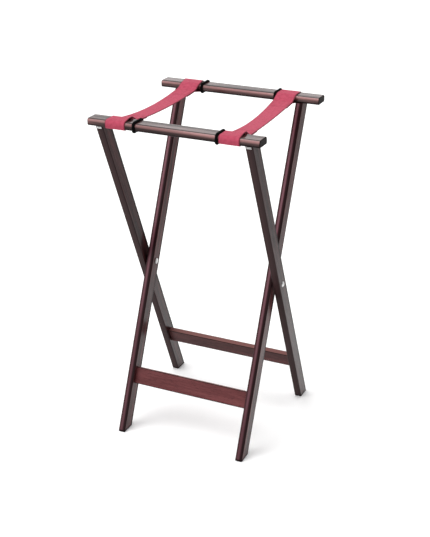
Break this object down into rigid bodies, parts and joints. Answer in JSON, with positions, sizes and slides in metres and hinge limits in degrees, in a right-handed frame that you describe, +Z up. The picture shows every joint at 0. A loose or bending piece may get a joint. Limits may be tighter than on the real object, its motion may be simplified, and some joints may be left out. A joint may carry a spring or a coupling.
{
  "type": "folding tray and luggage rack",
  "caption": "Tall folding wooden rack: crossed leg frames turn on rivets, and webbing straps join the two top rails.",
  "frame": {"origin": "on the floor, under the middle of the open rack", "axes": "+X along the rails to the right, +Y from the front to the rear, +Z up"},
  "size_m": [0.405, 0.398, 0.7915],
  "materials": {
    "stained_wood": "gloss mahogany stain",
    "beech": "bare",
    "webbing": "woven, matt",
    "rubber": "smooth black",
    "steel": "bright zinc",
    "nylon": "matt black"
  },
  "bodies": {
    "outer_frame": {"front_rail": "stained_wood", "outer_leg_left": "stained_wood", "outer_leg_right": "stained_wood", "rear_stretcher": "stained_wood", "outer_rail_dowels": "beech", "outer_stretcher_dowels": "beech", "outer_staples": "steel", "pivot_rivet_left": "steel", "pivot_rivet_right": "steel", "pivot_washer_left": "steel", "pivot_washer_right": "steel", "pivot_spacer_left": "nylon", "pivot_spacer_right": "nylon", "ring_front_left": "rubber", "ring_front_right": "rubber", "strap_left_front_loop": "webbing", "strap_right_front_loop": "webbing"},
    "inner_frame": {"rear_rail": "stained_wood", "inner_leg_left": "stained_wood", "inner_leg_right": "stained_wood", "front_stretcher": "stained_wood", "inner_rail_dowels": "beech", "inner_stretcher_dowels": "beech", "inner_staples": "steel", "ring_rear_left": "rubber", "ring_rear_right": "rubber", "strap_left_rear_loop": "webbing", "strap_right_rear_loop": "webbing"},
    "front_spans": {"strap_left_front_span": "webbing", "strap_right_front_span": "webbing"},
    "rear_spans": {"strap_left_rear_span": "webbing", "strap_right_rear_span": "webbing"}
  },
  "joints": [
    {"name": "fold", "type": "hinge", "parent": "outer_frame", "child": "inner_frame", "pos_m": [0, 0, 0.382], "axis": [1, 0, 0], "range_deg": [0, 40]},
    {"name": "front_strap_swing", "type": "hinge", "parent": "outer_frame", "child": "front_spans", "pos_m": [0, -0.16149, 0.781], "axis": [-1, 0, 0], "range_deg": [0, 61.8], "deforming": ["strap_left_front_span", "strap_right_front_span"]},
    {"name": "rear_strap_swing", "type": "hinge", "parent": "inner_frame", "child": "rear_spans", "pos_m": [0, 0.16149, 0.781], "axis": [1, 0, 0], "range_deg": [0, 61.8], "deforming": ["strap_left_rear_span", "strap_right_rear_span"]}
  ],
  "couplings": [
    {"joint": "front_strap_swing", "follows": "fold", "ratio": 1.545},
    {"joint": "rear_strap_swing", "follows": "fold", "ratio": 1.545}
  ]
}
